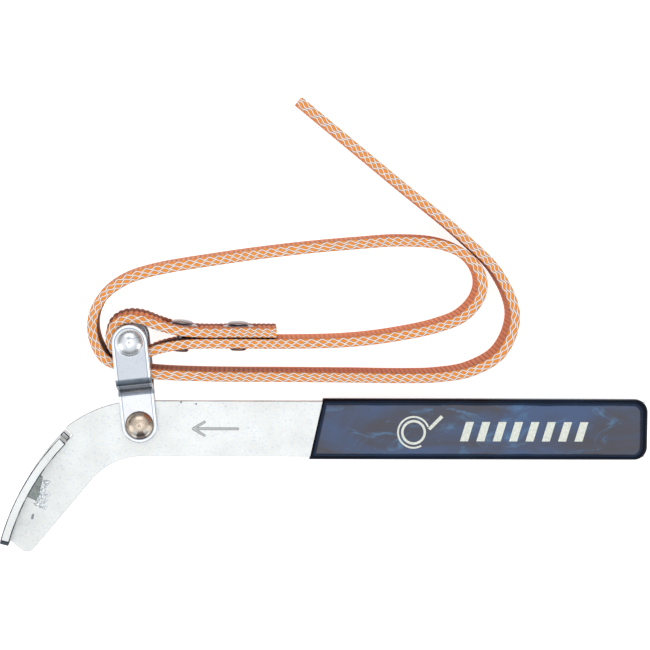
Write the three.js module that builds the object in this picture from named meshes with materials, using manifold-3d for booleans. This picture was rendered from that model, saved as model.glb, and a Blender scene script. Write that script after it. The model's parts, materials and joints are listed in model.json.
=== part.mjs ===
// Strap-type oil filter wrench, lying flat. Millimetres, +Z up.
// A flat steel handle carries a curved pressure shoe at its head and a swinging link at its neck.
// One end of a thick woven strap is riveted into an eye on the link's pin. The strap then makes
// a loop for the filter, comes back through the window of the link and ends in a free tail.
import * as THREE from 'three';
import { mergeVertices } from 'three/addons/utils/BufferGeometryUtils.js';
import Module from 'manifold-3d';

const wasm = await Module();
wasm.setup();

// ---- driving dimensions -------------------------------------------------------------------
// The handle lies along X, its middle plane is z = 0, and the link's pivot stands at x = 0.
const GAP = 0.3; // kept between pieces that touch
const OVERCUT = 1; // how far a cutter reaches past what it cuts
const rad = THREE.MathUtils.degToRad;

const BAR_WIDTH = 25;
const BAR_THICKNESS = 4;
const BAR_END_X = 227.8;
const BEND_X = 1.4; // where the edgewise bend of the neck starts
const BEND_INNER_RADIUS = 30;
const BEND_ANGLE = 50.4;
const HEAD_LENGTH = 44.2; // straight part after the bend
const HEAD_CORNER_RADIUS = 4;

const SHOE_RADIUS = 108;
const SHOE_CENTRE = new THREE.Vector2(42.7, -77.7);
const SHOE_START = 136.2; // angle seen from SHOE_CENTRE, at the neck
const SHOE_LOWER_LEAD = 0.8; // the lower strip starts this much nearer the neck
const SHOE_END = 165.6; // at the toe
const SHOE_THICKNESS = 4;
const SHOE_HEIGHT = 25; // as tall as the strap is wide
const SHOE_TOE_CHAMFER = 2;
const NOTCH_START = 134.2; // relief in the handle's edge, from here to the shoe
const NOTCH_OVERLAP = 0.3; // the relief runs on this far under the shoe
const WELD_START = 146.9;
const WELD_END = 153.2;
const WELD_START_RADIUS = 1.8; // the bead grows thicker towards the toe
const WELD_END_RADIUS = 3.4;
const WELD_FLATNESS = 0.9;
const WELD_LUMPS = 5;

const STRAP_WIDTH = 25;
const STRAP_THICKNESS = 4.5;
const EYE_STEP = 3; // length of one facet along the strap
const LOOP_STEP = 6.5;
const TAIL_STEP = 7;

const PIVOT = new THREE.Vector2(0, 1.8);
const LINK_PITCH = 38.3; // pivot to pin
const LINK_TILT = 6.1;
const LINK_WIDTH = 16;
const PLATE_THICKNESS = 2;
const PLATE_LOW = BAR_THICKNESS / 2 + GAP; // inner face beside the handle
const PLATE_HIGH = STRAP_WIDTH / 2 + 1.5; // inner face beside the strap
const JOGGLE_START = 14.3;
const JOGGLE_ANGLE = 74;
const JOGGLE_RADIUS = 3; // of the plate's middle surface

const RIVET_HEAD_RADIUS = 6.3;
const RIVET_HEAD_HEIGHT = 3.5;
const DIMPLE_RADIUS = 0.8;
const PIVOT_SHANK_RADIUS = 4;
const PIN_SHANK_RADIUS = 2.9;
const SPACER_RADIUS = 4;

const GRIP_OPEN_X = 80.4; // open end, measured on the handle's centre line
const GRIP_OPEN_SLANT = 12.3;
const GRIP_END_X = 229.2;
const GRIP_WIDTH = 27.6;
const GRIP_THICKNESS = 7;
const GRIP_CORNER_RADIUS = 5.9;
const GRIP_EDGE_RADIUS = 2.2;

const LAP_RIVETS = [
  { x: 18.5, upper: 44.75, lower: 38.75, tilt: -4 },
  { x: 44, upper: 44.2, lower: 39.3, tilt: 0 },
];
const LAP_PRESS = 1.05; // how deep each washer is pressed into the strap
const LAP_SHANK_RADIUS = 2;
const LAP_HEAD_RADIUS = 4.9;
const LAP_HEAD_RIM = 0.5; // upright edge of the head, below its rounded top
const LAP_HEAD_HEIGHT = 1.4;
const LAP_HEAD_FLAT_RADIUS = 2.2;
const LAP_CLENCH_RADIUS = 3.9;
const LAP_CLENCH_HEIGHT = 1.2;
const LAP_CLENCH_ROLL = 0.6;
const LAP_BORE_RADIUS = 1.2;
const LAP_BORE_DEPTH = 3;
const WASHER_RADIUS = 7.1;
const WASHER_THICKNESS = 1;
const WASHER_RIM = 0.3; // the dished washer is thinnest at its rim
const WASHER_FLAT_WIDTH = 2.6;

// ---- helpers ------------------------------------------------------------------------------
function solid(geometry) {
  const bare = geometry.index ? geometry.toNonIndexed() : geometry.clone();
  bare.deleteAttribute('normal');
  bare.deleteAttribute('uv');
  const merged = mergeVertices(bare, 1e-4);
  return new wasm.Manifold(new wasm.Mesh({
    numProp: 3,
    vertProperties: new Float32Array(merged.attributes.position.array),
    triVerts: new Uint32Array(merged.index.array),
  }));
}

function geometryOf(body) {
  const mesh = body.getMesh();
  const geometry = new THREE.BufferGeometry();
  geometry.setAttribute('position', new THREE.BufferAttribute(mesh.vertProperties, 3));
  geometry.setIndex(new THREE.BufferAttribute(mesh.triVerts, 1));
  geometry.computeVertexNormals();
  return geometry;
}

function slab(shape, low, high, curveSegments = 24) {
  const geometry = new THREE.ExtrudeGeometry(shape, {
    depth: high - low, bevelEnabled: false, curveSegments,
  });
  return geometry.translate(0, 0, low);
}

function polar(centre, radius, degrees) {
  return new THREE.Vector2(
    centre.x + radius * Math.cos(rad(degrees)),
    centre.y + radius * Math.sin(rad(degrees)),
  );
}

function ringSector(centre, inner, outer, from, to) {
  const shape = new THREE.Shape();
  shape.absarc(centre.x, centre.y, outer, rad(from), rad(to), false);
  shape.absarc(centre.x, centre.y, inner, rad(to), rad(from), true);
  return shape;
}

function post(radius, low, high, x = 0, y = 0, sides = 32) {
  const geometry = new THREE.CylinderGeometry(radius, radius, high - low, sides);
  return geometry.rotateX(Math.PI / 2).translate(x, y, (low + high) / 2);
}

function latheZ(profile, segments = 32) {
  return new THREE.LatheGeometry(profile, segments).rotateX(Math.PI / 2);
}

function steel(color, roughness) {
  return new THREE.MeshStandardMaterial({ color, roughness, metalness: 1 });
}

function part(name, geometry, material) {
  const mesh = new THREE.Mesh(geometry, material);
  mesh.name = name;
  return mesh;
}

// ---- materials ----------------------------------------------------------------------------
const zinc = () => steel(0xe4e7e6, 0.42);
const brightZinc = () => steel(0xd9dee3, 0.22);
const bronze = () => steel(0xc3af96, 0.25);
const weldMetal = () => steel(0x8f9694, 0.6);
const webbing = () => new THREE.MeshStandardMaterial({ color: 0xe0904f, roughness: 0.85 });
const vinyl = () => new THREE.MeshStandardMaterial({ color: 0x232b3a, roughness: 0.3 });

// ---- handle -------------------------------------------------------------------------------
function barOutline() {
  const half = BAR_WIDTH / 2;
  const bend = new THREE.Vector2(BEND_X, -half - BEND_INNER_RADIUS);
  const turned = 90 + BEND_ANGLE;
  const along = new THREE.Vector2(-Math.cos(rad(BEND_ANGLE)), -Math.sin(rad(BEND_ANGLE)));
  const across = new THREE.Vector2(-along.y, along.x).negate();
  const outer = polar(bend, BEND_INNER_RADIUS + BAR_WIDTH, turned).addScaledVector(along, HEAD_LENGTH);
  const inner = polar(bend, BEND_INNER_RADIUS, turned).addScaledVector(along, HEAD_LENGTH);
  const corner = inner.clone()
    .addScaledVector(across, HEAD_CORNER_RADIUS)
    .addScaledVector(along, -HEAD_CORNER_RADIUS);
  const heading = Math.atan2(along.y, along.x);

  const shape = new THREE.Shape();
  shape.moveTo(BAR_END_X, -half);
  shape.lineTo(BAR_END_X, half);
  shape.absarc(bend.x, bend.y, BEND_INNER_RADIUS + BAR_WIDTH, rad(90), rad(turned), false);
  shape.lineTo(outer.x, outer.y);
  shape.absarc(corner.x, corner.y, HEAD_CORNER_RADIUS, heading, heading + rad(90), false);
  shape.absarc(bend.x, bend.y, BEND_INNER_RADIUS, rad(turned), rad(90), true);
  return shape;
}

// The head's outer edge follows the shoe's face, with a relief notch just ahead of the shoe.
function makeBar() {
  const half = BAR_THICKNESS / 2;
  const cut = half + OVERCUT;
  const reach = SHOE_RADIUS + BAR_WIDTH;
  const pastToe = 15;
  const edge = ringSector(SHOE_CENTRE, SHOE_RADIUS, reach, NOTCH_START, SHOE_END + pastToe);
  const notch = ringSector(
    SHOE_CENTRE, SHOE_RADIUS - SHOE_THICKNESS, reach, NOTCH_START, SHOE_START + NOTCH_OVERLAP);
  const body = solid(slab(barOutline(), -half, half, 28))
    .subtract(solid(slab(edge, -cut, cut, 28)))
    .subtract(solid(slab(notch, -cut, cut, 6)))
    .subtract(solid(post(PIVOT_SHANK_RADIUS + GAP, -cut, cut, PIVOT.x, PIVOT.y)));
  return geometryOf(body);
}

// The shoe is two curved strips, one welded on each face of the head, flush with its edge.
function makeShoe(side) {
  const near = side * (BAR_THICKNESS / 2 + GAP);
  const far = side * SHOE_HEIGHT / 2;
  const start = side > 0 ? SHOE_START : SHOE_START - SHOE_LOWER_LEAD;
  const strip = ringSector(
    SHOE_CENTRE, SHOE_RADIUS - SHOE_THICKNESS, SHOE_RADIUS, start, SHOE_END);
  const size = 4 * SHOE_TOE_CHAMFER;
  const cutter = new THREE.BoxGeometry(4 * SHOE_THICKNESS, size, size);
  cutter.rotateX(rad(45));
  cutter.translate(0, 0, far + side * (size / Math.SQRT2 - SHOE_TOE_CHAMFER));
  cutter.rotateZ(rad(SHOE_END));
  const toe = polar(SHOE_CENTRE, SHOE_RADIUS - SHOE_THICKNESS / 2, SHOE_END);
  cutter.translate(toe.x, toe.y, 0);
  const body = solid(slab(strip, Math.min(near, far), Math.max(near, far), 20));
  return geometryOf(body.subtract(solid(cutter)));
}

// A short lumpy fillet bead in the corner between the head's face and a shoe strip.
function makeWeld(side) {
  const floor = BAR_THICKNESS / 2 + GAP;
  const inner = SHOE_RADIUS - SHOE_THICKNESS - GAP;
  const crest = inner - 0.4; // the lumps are centred just inside the corner
  let bead = null;
  for (let i = 0; i < WELD_LUMPS; i++) {
    const t = i / (WELD_LUMPS - 1);
    const at = polar(SHOE_CENTRE, crest, THREE.MathUtils.lerp(WELD_START, WELD_END, t));
    const radius = THREE.MathUtils.lerp(WELD_START_RADIUS, WELD_END_RADIUS, t);
    const lump = solid(new THREE.IcosahedronGeometry(1, 3)
      .scale(radius, radius, WELD_FLATNESS * radius)
      .translate(at.x, at.y, side * floor));
    bead = bead ? bead.add(lump) : lump;
  }
  // the corner's free space, which the bead may fill
  const depth = 2 * WELD_END_RADIUS;
  const room = ringSector(SHOE_CENTRE, inner - depth, inner, WELD_START - 4, WELD_END + 4);
  const low = side > 0 ? floor : -floor - depth;
  return geometryOf(bead.intersect(solid(slab(room, low, low + depth, 24))));
}

// ---- grip ---------------------------------------------------------------------------------
function makeGrip() {
  const start = GRIP_OPEN_X - GRIP_WIDTH;
  const long = 2 * GRIP_END_X; // cutters longer than the sleeve
  const half = GRIP_WIDTH / 2 - GRIP_EDGE_RADIUS;
  const end = GRIP_END_X - GRIP_EDGE_RADIUS;
  const corner = GRIP_CORNER_RADIUS - GRIP_EDGE_RADIUS;
  const shape = new THREE.Shape();
  shape.moveTo(start, -half);
  shape.lineTo(end - corner, -half);
  shape.absarc(end - corner, -half + corner, corner, rad(-90), 0, false);
  shape.absarc(end - corner, half - corner, corner, 0, rad(90), false);
  shape.lineTo(start, half);
  const outer = new THREE.ExtrudeGeometry(shape, {
    depth: GRIP_THICKNESS - 2 * GRIP_EDGE_RADIUS,
    bevelEnabled: true,
    bevelThickness: GRIP_EDGE_RADIUS,
    bevelSize: GRIP_EDGE_RADIUS,
    bevelSegments: 4,
    curveSegments: 8,
  });
  outer.translate(0, 0, GRIP_EDGE_RADIUS - GRIP_THICKNESS / 2);
  const pocket = new THREE.BoxGeometry(long, BAR_WIDTH + 2 * GAP, BAR_THICKNESS + 2 * GAP);
  pocket.translate(BAR_END_X + GAP - long / 2, 0, 0);
  const mouth = new THREE.BoxGeometry(long, long, long);
  mouth.translate(-long / 2, 0, 0).rotateZ(rad(-GRIP_OPEN_SLANT)).translate(GRIP_OPEN_X, 0, 0);
  return geometryOf(solid(outer).subtract(solid(pocket)).subtract(solid(mouth)));
}

// ---- link ---------------------------------------------------------------------------------
// Side profile of one plate, x along the link and y away from the middle plane.
function plateProfile() {
  const from = -LINK_WIDTH;
  const to = LINK_PITCH + LINK_WIDTH;
  const a = rad(JOGGLE_ANGLE);
  const rise = PLATE_HIGH - PLATE_LOW;
  const slope = (rise - 2 * JOGGLE_RADIUS * (1 - Math.cos(a))) / Math.sin(a);
  const run = 2 * JOGGLE_RADIUS * Math.sin(a) + slope * Math.cos(a);
  const middleLow = PLATE_LOW + PLATE_THICKNESS / 2;
  const middleHigh = PLATE_HIGH + PLATE_THICKNESS / 2;
  const wide = JOGGLE_RADIUS + PLATE_THICKNESS / 2;
  const tight = JOGGLE_RADIUS - PLATE_THICKNESS / 2;
  const first = new THREE.Vector2(JOGGLE_START, middleLow + JOGGLE_RADIUS);
  const second = new THREE.Vector2(JOGGLE_START + run, middleHigh - JOGGLE_RADIUS);
  const quarter = Math.PI / 2;
  const shape = new THREE.Shape();
  shape.moveTo(from, PLATE_LOW);
  shape.lineTo(JOGGLE_START, PLATE_LOW);
  shape.absarc(first.x, first.y, wide, -quarter, a - quarter, false);
  shape.absarc(second.x, second.y, tight, quarter + a, quarter, true);
  shape.lineTo(to, PLATE_HIGH);
  shape.lineTo(to, PLATE_HIGH + PLATE_THICKNESS);
  shape.absarc(second.x, second.y, wide, quarter, quarter + a, false);
  shape.absarc(first.x, first.y, tight, a - quarter, -quarter, true);
  shape.lineTo(from, PLATE_LOW + PLATE_THICKNESS);
  return shape;
}

// One plate with its pivot hole at the origin and its pin hole at +Y.
function makePlate(side) {
  const half = LINK_WIDTH / 2;
  const outline = new THREE.Shape();
  outline.absarc(0, 0, half, Math.PI, 2 * Math.PI, false);
  outline.absarc(0, LINK_PITCH, half, 0, Math.PI, false);
  const top = PLATE_HIGH + PLATE_THICKNESS + 1;
  const sheet = slab(plateProfile(), -half - 1, half + 1, 6);
  // profile x becomes +Y, profile y becomes +Z
  sheet.applyMatrix4(new THREE.Matrix4().makeBasis(
    new THREE.Vector3(0, 1, 0), new THREE.Vector3(0, 0, 1), new THREE.Vector3(1, 0, 0)));
  const body = solid(sheet)
    .intersect(solid(slab(outline, 0, top, 16)))
    .subtract(solid(post(PIVOT_SHANK_RADIUS + GAP, 0, top)))
    .subtract(solid(post(PIN_SHANK_RADIUS + GAP, 0, top, 0, LINK_PITCH)));
  const geometry = geometryOf(body);
  return side > 0 ? geometry : geometry.rotateY(Math.PI);
}

// A rivet along Z with a domed, dimpled head on each side.
function makeRivet(shankRadius, seat) {
  const sphere = (RIVET_HEAD_RADIUS ** 2 + RIVET_HEAD_HEIGHT ** 2) / (2 * RIVET_HEAD_HEIGHT);
  const top = seat + RIVET_HEAD_HEIGHT;
  const domeSteps = 6;
  const head = [new THREE.Vector2(0, top - DIMPLE_RADIUS)];
  for (let i = domeSteps; i >= 0; i--) {
    const r = THREE.MathUtils.lerp(RIVET_HEAD_RADIUS, DIMPLE_RADIUS, i / domeSteps);
    head.push(new THREE.Vector2(r, top - sphere + Math.sqrt(sphere * sphere - r * r)));
  }
  head.push(new THREE.Vector2(shankRadius, seat));
  const lower = head.map((p) => new THREE.Vector2(p.x, -p.y));
  return latheZ([...lower, ...head.reverse()], 40);
}

function makeSpacer() {
  const half = PLATE_HIGH - GAP;
  const tube = solid(post(SPACER_RADIUS, -half, half));
  return geometryOf(tube.subtract(solid(post(PIN_SHANK_RADIUS + GAP, -half - 1, half + 1))));
}

// ---- strap --------------------------------------------------------------------------------
// The strap's middle line, from the cut end of the lap, around the eye and back, on through the
// loop and the link's window to the bare end of the tail. Each point is x, y and the height of
// the strap's middle: to the right of the lap it droops until its edge lies on the table.
const STRAP_ROUTE = [
  [61, 44.2, 0], [44, 44.2, 0], [27, 44.1, 0], [17.5, 44.9, 0], [8.5, 47.2, 0], [0.5, 49.7, 0],
  [-5.8, 49.9, 0], [-10.6, 47.4, 0], [-12.5, 42.5, 0], [-11.8, 37.6, 0], [-8.9, 34.6, 0],
  [-4.1, 32.9, 0], [2, 34.4, 0], [9, 36.9, 0], [18, 38.6, 0], [27, 39.2, 0], [44, 39.3, 0],
  [61, 39.3, 0],
  [92, 40, -1.7], [113, 42.2, -4.4], [133.9, 46.5, -6.6], [144.9, 51.1, -7.1], [151.6, 58.7, -7.2],
  [153.2, 66, -7.2], [150.8, 73, -7.2], [145, 78.9, -7.2], [134, 83.4, -6.8], [116, 84.8, -5.2],
  [98, 83.7, -3.2], [69.6, 81.1, -0.8], [37.4, 76.8, 0], [4.4, 70.9, 0], [-7.2, 66.7, 0],
  [-15.7, 60.1, 0], [-20, 51.9, 0], [-20.5, 44, 0], [-18.2, 36.6, 0], [-15, 32.2, 0],
  [-10.4, 29.8, 0], [-3.6, 27.2, 0], [5.2, 25.7, 0], [27, 24.7, 0], [70, 24.4, -0.5],
  [94, 24.1, -2.4], [120, 23.6, -5.2], [134.4, 24, -6.5], [149, 26.6, -7.1],
  [162.2, 34.7, -7.2], [168.1, 51, -7.2],
  [161, 69.6, -7.2], [145.2, 85.9, -7.2], [113.6, 111.6, -7.2], [70.5, 146.7, -7.2],
];
const LAP_POINT = 17; // here the lap ends and the free strap starts
const TAIL_POINT = 48; // here the tail can swing away

const strapRoute = new THREE.CatmullRomCurve3(
  STRAP_ROUTE.map((p) => new THREE.Vector3(...p)), false, 'centripetal');
const divisions = 40;
strapRoute.arcLengthDivisions = divisions * (STRAP_ROUTE.length - 1);
const lengthTo = (point) => strapRoute.getLengths()[point * divisions];

// A stretch of the route whose cross-section stays upright, so the strap stands on its edge.
class StrapStretch extends THREE.Curve {
  constructor(from, to) {
    super();
    this.from = from / strapRoute.getLength();
    this.to = to / strapRoute.getLength();
  }

  getPoint(t) {
    return strapRoute.getPointAt(THREE.MathUtils.lerp(this.from, this.to, t));
  }

  computeFrenetFrames(segments) {
    const frames = { tangents: [], normals: [], binormals: [] };
    for (let i = 0; i <= segments; i++) {
      const t = THREE.MathUtils.lerp(this.from, this.to, i / segments);
      const tangent = strapRoute.getTangentAt(t);
      const up = new THREE.Vector3(0, 0, 1);
      frames.tangents.push(tangent);
      frames.normals.push(new THREE.Vector3().crossVectors(up, tangent).normalize());
      frames.binormals.push(up);
    }
    return frames;
  }
}

function strapBetween(from, to, stepLength) {
  const section = new THREE.Shape();
  const t = STRAP_THICKNESS / 2;
  const w = STRAP_WIDTH / 2;
  section.moveTo(-t, -w);
  section.lineTo(t, -w);
  section.lineTo(t, w);
  section.lineTo(-t, w);
  return new THREE.ExtrudeGeometry(section, {
    steps: Math.round((to - from) / stepLength),
    extrudePath: new StrapStretch(from, to),
    bevelEnabled: false,
  });
}

// Holes and pressed seats for the two rivets of the lap.
function makeEye() {
  const holeRadius = LAP_SHANK_RADIUS + GAP;
  const seatRadius = WASHER_RADIUS + GAP;
  const seatDepth = 8; // reaches out of the strap
  let body = solid(strapBetween(0, lengthTo(LAP_POINT) - GAP / 2, EYE_STEP));
  for (const rivet of LAP_RIVETS) {
    const middle = (rivet.upper + rivet.lower) / 2;
    const hole = new THREE.CylinderGeometry(holeRadius, holeRadius, 6 * STRAP_THICKNESS, 24);
    hole.rotateZ(rad(rivet.tilt)).translate(rivet.x, middle, 0);
    body = body.subtract(solid(hole));
    for (const side of [1, -1]) {
      const seat = new THREE.CylinderGeometry(seatRadius, seatRadius, seatDepth, 40);
      seat.translate(0, side * (lapHalf(rivet) + seatDepth / 2), 0);
      seat.rotateZ(rad(rivet.tilt)).translate(rivet.x, middle, 0);
      body = body.subtract(solid(seat));
    }
  }
  return geometryOf(body);
}

// Half the height of the two pressed layers at one rivet.
function lapHalf(rivet) {
  return (rivet.upper - rivet.lower + STRAP_THICKNESS) / 2 - LAP_PRESS;
}

// A tubular rivet along Y: a low head above, a rolled clench with an open bore below.
function makeLapRivet(rivet) {
  const seat = lapHalf(rivet) + WASHER_THICKNESS + 2 * GAP;
  const top = seat + LAP_HEAD_HEIGHT;
  const shoulder = (LAP_HEAD_RIM + 2 * LAP_HEAD_HEIGHT) / 3;
  const bottom = -seat - LAP_CLENCH_HEIGHT;
  const roll = LAP_CLENCH_ROLL;
  const profile = [
    [0, bottom + LAP_BORE_DEPTH],
    [LAP_BORE_RADIUS, bottom + LAP_BORE_DEPTH],
    [LAP_BORE_RADIUS, bottom + roll],
    [LAP_BORE_RADIUS + roll, bottom],
    [LAP_CLENCH_RADIUS - roll, bottom],
    [LAP_CLENCH_RADIUS, bottom + roll],
    [LAP_CLENCH_RADIUS - roll, -seat],
    [LAP_SHANK_RADIUS, -seat],
    [LAP_SHANK_RADIUS, seat],
    [LAP_HEAD_RADIUS, seat],
    [LAP_HEAD_RADIUS, seat + LAP_HEAD_RIM],
    [(2 * LAP_HEAD_RADIUS + LAP_HEAD_FLAT_RADIUS) / 3, seat + shoulder],
    [LAP_HEAD_FLAT_RADIUS, top],
    [0, top],
  ].map(([r, y]) => new THREE.Vector2(r, y));
  return new THREE.LatheGeometry(profile, 32);
}

// A dished washer along Y, its rim towards -Y.
function makeWasher() {
  const hole = LAP_SHANK_RADIUS + GAP;
  const rim = WASHER_RADIUS - WASHER_RIM;
  const profile = [
    [hole, 0],
    [rim, 0],
    [WASHER_RADIUS, WASHER_RIM],
    [rim, WASHER_THICKNESS - WASHER_RIM],
    [hole + WASHER_FLAT_WIDTH, WASHER_THICKNESS],
    [hole, WASHER_THICKNESS],
    [hole, 0],
  ].map(([r, y]) => new THREE.Vector2(r, y));
  return new THREE.LatheGeometry(profile, 40);
}

// ---- assembly -----------------------------------------------------------------------------
const handle = new THREE.Group();
handle.add(part('bar', makeBar(), zinc()));
for (const [place, side] of [['top', 1], ['bottom', -1]]) {
  handle.add(part(`shoe_${place}`, makeShoe(side), zinc()));
  handle.add(part(`weld_${place}`, makeWeld(side), weldMetal()));
}
handle.add(part('grip', makeGrip(), vinyl()));
const pivotRivet = part(
  'pivot_rivet', makeRivet(PIVOT_SHANK_RADIUS, PLATE_LOW + PLATE_THICKNESS + GAP), bronze());
pivotRivet.position.set(PIVOT.x, PIVOT.y, 0);
handle.add(pivotRivet);

const link = new THREE.Group();
link.position.set(PIVOT.x, PIVOT.y, 0);
link.rotation.z = rad(LINK_TILT);
link.add(part('link_plate_top', makePlate(1), brightZinc()));
link.add(part('link_plate_bottom', makePlate(-1), brightZinc()));
const pin = part(
  'shackle_pin', makeRivet(PIN_SHANK_RADIUS, PLATE_HIGH + PLATE_THICKNESS + GAP), brightZinc());
const spacer = part('spacer_tube', makeSpacer(), brightZinc());
for (const piece of [pin, spacer]) {
  piece.position.y = LINK_PITCH;
  link.add(piece);
}

const lappedEnd = new THREE.Group();
lappedEnd.add(part('strap_eye', makeEye(), webbing()));
LAP_RIVETS.forEach((rivet, i) => {
  const clamp = new THREE.Group();
  clamp.position.set(rivet.x, (rivet.upper + rivet.lower) / 2, 0);
  clamp.rotation.z = rad(rivet.tilt);
  clamp.add(part(`lap_rivet_${i + 1}`, makeLapRivet(rivet), brightZinc()));
  for (const [place, turn] of [['front', 0], ['back', Math.PI]]) {
    const washer = part(`washer_${place}_${i + 1}`, makeWasher(), brightZinc());
    washer.rotation.z = turn;
    washer.position.y = (turn ? -1 : 1) * (lapHalf(rivet) + GAP);
    clamp.add(washer);
  }
  lappedEnd.add(clamp);
});

const freeStrap = new THREE.Group();
const loopStart = lengthTo(LAP_POINT) + GAP / 2;
const loopEnd = lengthTo(TAIL_POINT) - GAP / 2;
freeStrap.add(part('strap_loop', strapBetween(loopStart, loopEnd, LOOP_STEP), webbing()));
const tail = strapBetween(loopEnd + GAP, strapRoute.getLength(), TAIL_STEP);
freeStrap.add(part('strap_tail', tail, webbing()));

// Origin: middle of the tool's box without its free strap, on the surface that it lies on.
const box = new THREE.Box3();
for (const group of [handle, link, lappedEnd]) {
  box.expandByObject(group, true);
}
const middle = box.getCenter(new THREE.Vector3());
const wrench = new THREE.Group();
wrench.add(handle, link, lappedEnd, freeStrap);
wrench.position.set(-middle.x, -middle.y, -box.min.z);

export default wrench;
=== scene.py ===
"""The looks of a strap-type oil filter wrench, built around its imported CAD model."""

import json
import math
import random
from functools import partialmethod

import bmesh
import bpy
import numpy as np
from mathutils import Matrix, Vector, noise


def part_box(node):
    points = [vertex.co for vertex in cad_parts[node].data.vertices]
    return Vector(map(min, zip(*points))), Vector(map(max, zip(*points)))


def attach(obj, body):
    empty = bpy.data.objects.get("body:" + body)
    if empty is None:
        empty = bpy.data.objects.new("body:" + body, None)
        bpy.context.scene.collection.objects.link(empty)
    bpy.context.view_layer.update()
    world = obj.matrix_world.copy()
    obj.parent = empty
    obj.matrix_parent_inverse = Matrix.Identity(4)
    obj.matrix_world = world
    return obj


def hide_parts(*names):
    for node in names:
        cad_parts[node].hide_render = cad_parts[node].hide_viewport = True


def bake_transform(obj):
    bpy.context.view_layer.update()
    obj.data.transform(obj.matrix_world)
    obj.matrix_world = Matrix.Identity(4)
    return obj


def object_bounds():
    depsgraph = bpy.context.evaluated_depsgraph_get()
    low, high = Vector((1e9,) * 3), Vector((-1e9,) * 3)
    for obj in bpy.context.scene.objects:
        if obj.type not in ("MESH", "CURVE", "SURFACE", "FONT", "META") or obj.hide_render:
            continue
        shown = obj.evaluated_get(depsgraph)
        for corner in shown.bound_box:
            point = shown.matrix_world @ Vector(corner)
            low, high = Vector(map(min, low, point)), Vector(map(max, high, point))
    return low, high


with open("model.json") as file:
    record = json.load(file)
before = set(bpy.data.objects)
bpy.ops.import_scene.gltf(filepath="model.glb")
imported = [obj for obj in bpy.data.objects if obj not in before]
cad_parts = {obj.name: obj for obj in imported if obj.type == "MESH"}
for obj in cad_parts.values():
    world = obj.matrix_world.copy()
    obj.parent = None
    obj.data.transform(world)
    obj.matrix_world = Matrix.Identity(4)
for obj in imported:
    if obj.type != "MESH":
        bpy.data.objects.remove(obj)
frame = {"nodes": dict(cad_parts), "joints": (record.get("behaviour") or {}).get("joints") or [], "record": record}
CAD_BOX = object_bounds()

# ---- driving dimensions, in millimetres as in the CAD --------------------------------------
MM = 0.001
PIVOT_Y = 1.8
LINK_PITCH = 38.3
LINK_TILT = 6.1
LINK_WIDTH = 16
PLATE_THICKNESS = 2
PLATE_LOW = 2.3
PLATE_HIGH = 14
JOGGLE_START = 14.3
JOGGLE_ANGLE = 74
JOGGLE_RADIUS = 3
BEND_ANGLE = math.radians(JOGGLE_ANGLE)
BEND_LENGTH = JOGGLE_RADIUS * BEND_ANGLE
# the straight part between the joggle's two bends, how far all three reach in plan, and the
# holes' distance in the plate when it is flattened
SLOPE_LENGTH = ((PLATE_HIGH - PLATE_LOW - 2 * JOGGLE_RADIUS * (1 - math.cos(BEND_ANGLE)))
                / math.sin(BEND_ANGLE))
JOGGLE_RUN = 2 * JOGGLE_RADIUS * math.sin(BEND_ANGLE) + SLOPE_LENGTH * math.cos(BEND_ANGLE)
FLAT_PITCH = LINK_PITCH + 2 * BEND_LENGTH + SLOPE_LENGTH - JOGGLE_RUN
PLATE_EDGE = 0.75
PIVOT_HOLE = 4.3
PIN_HOLE = 3.2

STRAP_WIDTH = 25
STRAP_THICKNESS = 4.5
STRAP_CORNER = 0.95
ZIGZAG_PERIOD = 4.5
RIB_PITCH = 2.15
RIB_HEIGHT = 0.26
LAP_POINT = 17
TURN_START = 44
LAP_RIVET_TILTS = (-4, 0)
WASHER_RADIUS = 7.1

HEAD_RADIUS = 6.3
HEAD_HEIGHT = 3.5
DIMPLE_RADIUS = 0.7
PIVOT_SHANK = 4
PIN_SHANK = 2.9

SHOE_RADIUS = 108
SHOE_CENTRE = (42.7, -77.7)
SHOE_THICKNESS = 4
SHOE_START = 136.2
SHOE_END = 165.6
WELD_ANGLES = (146.9, 153.2)
BAR_TOP = 2

GRIP_OPEN_X = 80.4
GRIP_OPEN_SLANT = 12.3
GRIP_END_X = 229.2
GRIP_WIDTH = 27.6
GRIP_THICKNESS = 7
GRIP_CORNER = 5.9
GRIP_EDGE = 2.2

# The strap's middle line: the cut end of the lap, around the eye and back, on through the
# link's window, round both turns and out to the free end.
STRAP_ROUTE = (
    (61, 44.2, 0), (44, 44.2, 0), (27, 44.1, 0), (17.5, 44.9, 0), (8.5, 47.2, 0), (0.5, 49.7, 0),
    (-5.8, 49.9, 0), (-10.6, 47.4, 0), (-12.5, 42.5, 0), (-11.8, 37.6, 0), (-8.9, 34.6, 0),
    (-4.1, 32.9, 0), (2, 34.4, 0), (9, 36.9, 0), (18, 38.6, 0), (27, 39.2, 0), (44, 39.3, 0),
    (61, 39.3, 0),
    (92, 40, -1.7), (113, 42.2, -4.4), (133.9, 46.5, -6.6), (144.9, 51.1, -7.1),
    (151.6, 58.7, -7.2), (153.2, 66, -7.2), (150.8, 73, -7.2), (145, 78.9, -7.2), (134, 83.4, -6.8),
    (116, 84.8, -5.2), (98, 83.7, -3.2), (69.6, 81.1, -0.8), (37.4, 76.8, 0), (4.4, 70.9, 0),
    (-7.2, 66.7, 0), (-15.7, 60.1, 0), (-20, 51.9, 0), (-20.5, 44, 0), (-18.2, 36.6, 0),
    (-15, 32.2, 0), (-10.4, 29.8, 0), (-3.6, 27.2, 0), (5.2, 25.7, 0), (27, 24.7, 0),
    (70, 24.4, -0.5), (94, 24.1, -2.4), (120, 23.6, -5.2), (134.4, 24, -6.5),
    (149, 26.6, -7.1), (162.2, 34.7, -7.2), (168.1, 51, -7.2),
    (161, 69.6, -7.2), (145.2, 85.9, -7.2), (113.6, 111.6, -7.2), (70.5, 146.7, -7.2),
)

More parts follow.
